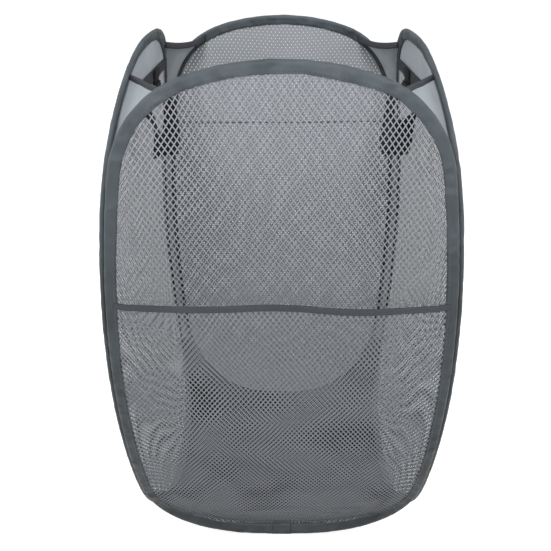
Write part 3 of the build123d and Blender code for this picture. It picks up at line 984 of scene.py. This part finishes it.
def make_base_half(name, keep, nodes, lift):
    """One half of the base, drawn back from the diagonal by the width of the pleat."""
    def place(s, t):
        y = (2 * t - 1) * FOOT_Y
        x = (2 * s - 1) * base_half_width(y)
        return Vector((x, y, 0.0))

    obj = cloth_grid(name, BASE_STEPS, BASE_STEPS, place, (2 * FOOT_X, 2 * FOOT_Y))
    edit_all()
    bpy.ops.mesh.bisect(plane_co=(0, 0, 0), plane_no=(keep, keep, 0), clear_inner=True)
    bpy.ops.object.mode_set(mode="OBJECT")
    for vertex in obj.data.vertices:
        x, y = vertex.co.x, vertex.co.y
        beside = keep * (x + y)
        back = pleat_width(keep * (x - y) / 2) * max(0.0, 1 - beside / PLEAT_REACH)
        back -= CUT_OVER * (beside < CUT_NEAR)
        x, y = x + keep * back / 2, y + keep * back / 2
        vertex.co = (x, y, base_height(x, y) + lift)
    dress(obj, "base_cloth", *nodes)
    return obj


def make_pleat(name, turn):
    """A narrow strip of the base, from its middle out to a corner that closes."""
    def place(s, t):
        end = (PLEAT_WIDTH[-1] + 2 * PLEAT_OVER) * s - PLEAT_OVER
        limit = max(run for run in np.linspace(20 * MM, 140 * MM, 241)
                    if run + end / 2 <= base_half_width(run - end / 2) and run - end / 2 <= FOOT_Y)
        along = PLEAT_ALONG[0] + (limit - PLEAT_ALONG[0]) * t
        over = (pleat_width(along) + 2 * PLEAT_OVER) * s - PLEAT_OVER
        x, y = turn * (along + over / 2), turn * (over / 2 - along)
        return Vector((x, y, base_height(x, y) + PLEAT_LIFT))

    return dress(cloth_grid(name, 12, 48, place, PLEAT_FLAT), "base_cloth")


BASE_FRONT = make_base_half("base_cloth_front", -1, ["base_panel"], 0.0)
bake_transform(BASE_FRONT)
BASE_BACK = make_base_half("base_cloth_back", 1, [], BACK_LIFT)
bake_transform(BASE_BACK)
for name, turn, first, second in (("base_pleat_right", 1, "front", "right"),
                                  ("base_pleat_left", -1, "left", "back_left_seam")):
    pleat = make_pleat(name, turn)
    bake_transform(pleat)

# %% [markdown]
# ## The corner cloth
# Cloth is cut flat, and these pieces are not rectangles. Each corner is listed here once its cloth is made.

for (face, side), (gusset, hem, seam, corner) in CORNERS.items():
    print(face, side, "corner declared")

# %% [markdown]
# ## Handles
# Each handle is a length of black webbing, sewn to the patch tape at both ends and hanging as a loop inside
# the side. It leaves the tape flat to the side, turns edge on as it drops, and is round at the bottom.

# %% Hang the handles
STRAP = 25 * MM
STRAP_THICK = 2 * MM
SPREAD = 90 * MM
TWIST = 22 * MM
LOOP_DROP = 45 * MM
TAB_Z, TAB_OUT = 557 * MM, -3.6 * MM
TAB_LOW, TAB_HIGH = 548 * MM, 566 * MM
TAB_TALL, TAB_THICK = 18 * MM, 2 * MM
HANDLE_LEAN = {"left": 11 * MM, "right": 15 * MM}
TURNS = {"left": {-1: -8, 1: 44}, "right": {-1: 62, 1: 12}}


def make_handle(panel):
    joint = [joint for joint in frame["joints"] if joint["name"] == f"{panel}_handle_swing"][0]
    top = Vector(joint["pos_m"])
    bend_z = top.z - TWIST
    arc = math.pi * (SPREAD / 2 + LOOP_DROP) / 2
    lean = sign_of(panel) * HANDLE_LEAN[panel]
    total = 2 * TWIST + arc

    def strap(s):
        """Middle of the webbing, the way out from the loop, and how far it has turned edge on."""
        run = s * total
        for hand, gone in ((-1, run), (1, total - run)):
            if gone <= TWIST:
                ease = (gone / TWIST) ** 2 * (3 - 2 * gone / TWIST)
                middle = Vector((top.x - lean * ease, hand * SPREAD / 2, top.z - gone))
                return middle, Vector((0, hand, 0)), ease * TURNS[panel][hand]
        share = (run - TWIST) / arc
        angle = math.pi * (1 + share)
        outward = Vector((0, math.cos(angle) * LOOP_DROP, math.sin(angle) * SPREAD / 2)).normalized()
        middle = Vector((top.x - lean, math.cos(angle) * SPREAD / 2, bend_z + math.sin(angle) * LOOP_DROP))
        first = TURNS[panel][-1 if share < 0.5 else 1]
        ease = math.sin(math.pi * share) ** 2
        return middle, outward, first + (90 - first) * ease

    def broad(s):
        outward, turn = strap(s)[1], math.radians(strap(s)[2])
        return Vector((1, 0, 0)) * math.sin(turn) - outward * math.cos(turn)

    obj = tape(f"{panel}_handle_webbing", 120, lambda s: strap(s)[0], broad, STRAP, STRAP_THICK, total)
    dress(obj, "webbing", f"{panel}_handle")
    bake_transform(obj)
    for hand, word in ((-1, "front"), (1, "rear")):
        y = hand * SPREAD / 2

        def centre(s):
            return on_panel(panel, y + (s - 0.5) * STRAP, TAB_Z, TAB_OUT)

        upright = (on_panel(panel, 0, TAB_HIGH) - on_panel(panel, 0, TAB_LOW)).normalized()
        tab = tape(f"{panel}_handle_{word}_patch", 8, centre, lambda s: upright, TAB_TALL, TAB_THICK, STRAP)
        dress(tab, "webbing", f"{panel}_handle_{word}_tab")
        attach(tab, panel)
    return obj


HANDLES = [make_handle(panel) for panel in ("left", "right")]
print("handles:", len(HANDLES))

# %% [markdown]
# ## Small sewn details
# The tape of each hoop has its two ends lapped at the middle of the foot. The back net has one level seam.
# Both are pieces of tape, laid over what they join.

# %% Lapped tape ends and the back seam
LAP_HALF = 13 * MM
LAP_MIDDLE, LAP_SHIFT = 5.6, 0.1
LAP_WIDE, LAP_THICK = 1.1, 1.144


def make_lap(panel):
    """A short sleeve over a binding, a little larger than its section."""
    span = LAP_HALF / HOOPS[panel]["length"]

    def place(s, t):
        inset, out = BINDING_RING[round(t * len(BINDING_SECTION))]
        inset = LAP_MIDDLE + (inset - LAP_MIDDLE) * LAP_WIDE + LAP_SHIFT
        return hoop_place(panel, (s - 0.5) * 2 * span, inset * MM, out * LAP_THICK * MM)

    obj = cloth_grid(f"{panel}_binding_lap", 12, len(BINDING_SECTION), place,
                     (2 * LAP_HALF, BINDING_ROUND), closed=True)
    dress(obj, "binding_tape")
    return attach(obj, panel)


LAPS = [make_lap(panel) for panel in PANELS]
SEAM_Z, SEAM_SLANT, SEAM_OUT = 472 * MM, 2 * MM, -0.5 * MM
SEAM_WIDTH, SEAM_THICK = 1.5 * MM, 0.9 * MM
SEAM_HALF = float(half_width("back", SEAM_Z, NET_EDGE))
BACK_SLACK = slack("back", RIM)


def seam_place(s):
    """A point of the seam, which gives with the net."""
    across = (2 * s - 1) * SEAM_HALF
    z = SEAM_Z + SEAM_SLANT * s
    return on_panel("back", across, z, float(BACK_SLACK(across, z)) + SEAM_OUT)


BACK_SEAM = tape("back_net_seam", 80, seam_place, lambda s: UP, SEAM_WIDTH, SEAM_THICK, 2 * SEAM_HALF)
dress(BACK_SEAM, "seam_tape", finish="net_seam")
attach(BACK_SEAM, "back")
print("laps:", len(LAPS), "and", BACK_SEAM.name)

# %% [markdown]
# ## Floor
# The photograph is a plain product picture on a white ground. A white floor would throw too much light up
# into the cloth, so the floor is grey to light, and only what the camera sees of it is lifted to white.

# %% Floor
FLOOR_SIZE, FLOOR_DROP = 60, 0.6 * MM
FLOOR_LIT, FLOOR_SEEN, FLOOR_GLOW = 0.6, 0.95, 0.36
bpy.ops.mesh.primitive_plane_add(size=FLOOR_SIZE, location=(0, 0, -FLOOR_DROP))
floor = bpy.context.object
floor.name = "floor"


def floor_finish():
    material = bpy.data.materials.new("pale_floor")
    material.use_nodes = True
    tree = material.node_tree
    tree.nodes.clear()
    paint, seen = (tree.nodes.new("ShaderNodeBsdfDiffuse") for _ in range(2))
    glow = tree.nodes.new("ShaderNodeEmission")
    for node, level in ((paint, FLOOR_LIT), (seen, FLOOR_SEEN), (glow, FLOOR_GLOW)):
        node.inputs["Color"].default_value = (level, level, level, 1)
    lifted = tree.nodes.new("ShaderNodeAddShader")
    rays = tree.nodes.new("ShaderNodeLightPath")
    direct = math_node(tree, "MAXIMUM", rays.outputs["Is Camera Ray"], rays.outputs["Is Glossy Ray"])
    direct = math_node(tree, "MAXIMUM", direct, rays.outputs["Is Transmission Ray"])
    mix = tree.nodes.new("ShaderNodeMixShader")
    out = tree.nodes.new("ShaderNodeOutputMaterial")
    tree.links.new(seen.outputs[0], lifted.inputs[0])
    tree.links.new(glow.outputs[0], lifted.inputs[1])
    tree.links.new(direct, mix.inputs[0])
    tree.links.new(paint.outputs[0], mix.inputs[1])
    tree.links.new(lifted.outputs[0], mix.inputs[2])
    tree.links.new(mix.outputs[0], out.inputs["Surface"])
    return material


floor.data.materials.append(floor_finish())
print("floor:", FLOOR_SIZE, "m square")

# %% [markdown]
# ## Light
# The light of the photograph comes from all round, a little more from above and in front. A wide sun gives
# the soft shadow, and three lamps fill the front and the sides. The camera sees plain white past the floor.

# %% Light
world = bpy.data.worlds.new("studio")
scene.world = world
world.use_nodes = True
tree = world.node_tree
tree.nodes["Background"].inputs["Color"].default_value = (1, 1, 1, 1)
AMBIENT = 0.42
rays = tree.nodes.new("ShaderNodeLightPath").outputs
seen = math_node(tree, "MAXIMUM", rays["Is Camera Ray"], rays["Is Transmission Ray"])
level = math_node(tree, "ADD", math_node(tree, "MULTIPLY", seen, 1.0 - AMBIENT), AMBIENT)
tree.links.new(level, tree.nodes["Background"].inputs["Strength"])


def soft_lamp(name, place, aim, size, power):
    bpy.ops.object.light_add(type="AREA", location=place)
    lamp = bpy.context.object
    lamp.name = name
    lamp.data.size = size
    lamp.data.energy = power
    lamp.rotation_euler = (Vector(aim) - Vector(place)).to_track_quat("-Z", "Y").to_euler()
    return lamp


soft_lamp("front_lamp", (0.0, -0.85, 1.0), (0, 0, 0.58), 0.5, 3.5)
soft_lamp("left_lamp", (-1.7, -0.1, 1.2), (0, 0, 0.5), 1.2, 15)
soft_lamp("right_lamp", (1.7, -0.1, 1.2), (0, 0, 0.5), 1.2, 15)
bpy.ops.object.light_add(type="SUN", rotation=(math.radians(50), 0, math.radians(-5)))
key = bpy.context.object
key.name = "key_light"
key.data.energy = 1.4
key.data.angle = math.radians(20)
print("lights:", len(bpy.data.lights))

# %% [markdown]
# ## Camera
# The photograph was taken from just above the rim, so close that the hamper tapers strongly. The camera's
# place, tilt and focal length come from fitting the hoops to their outlines in the photograph.

# %% Camera
PHOTO_PX, FOCAL_PX, SHIFT_PX = 551, 570.5, -6.2
CAMERA_PLACE = (0, -0.6205, 0.6918)
CAMERA_DOWN = 30.65
SENSOR = 36.0
bpy.ops.object.camera_add(location=CAMERA_PLACE, rotation=(math.radians(90 - CAMERA_DOWN), 0, 0))
camera = bpy.context.object
camera.name = "camera"
camera.data.sensor_fit = "HORIZONTAL"
camera.data.sensor_width = SENSOR
camera.data.lens = SENSOR * FOCAL_PX / PHOTO_PX
camera.data.shift_x = SHIFT_PX / PHOTO_PX
camera.data.clip_start = 0.01
scene.camera = camera
print("camera: lens", round(camera.data.lens, 1), "mm")
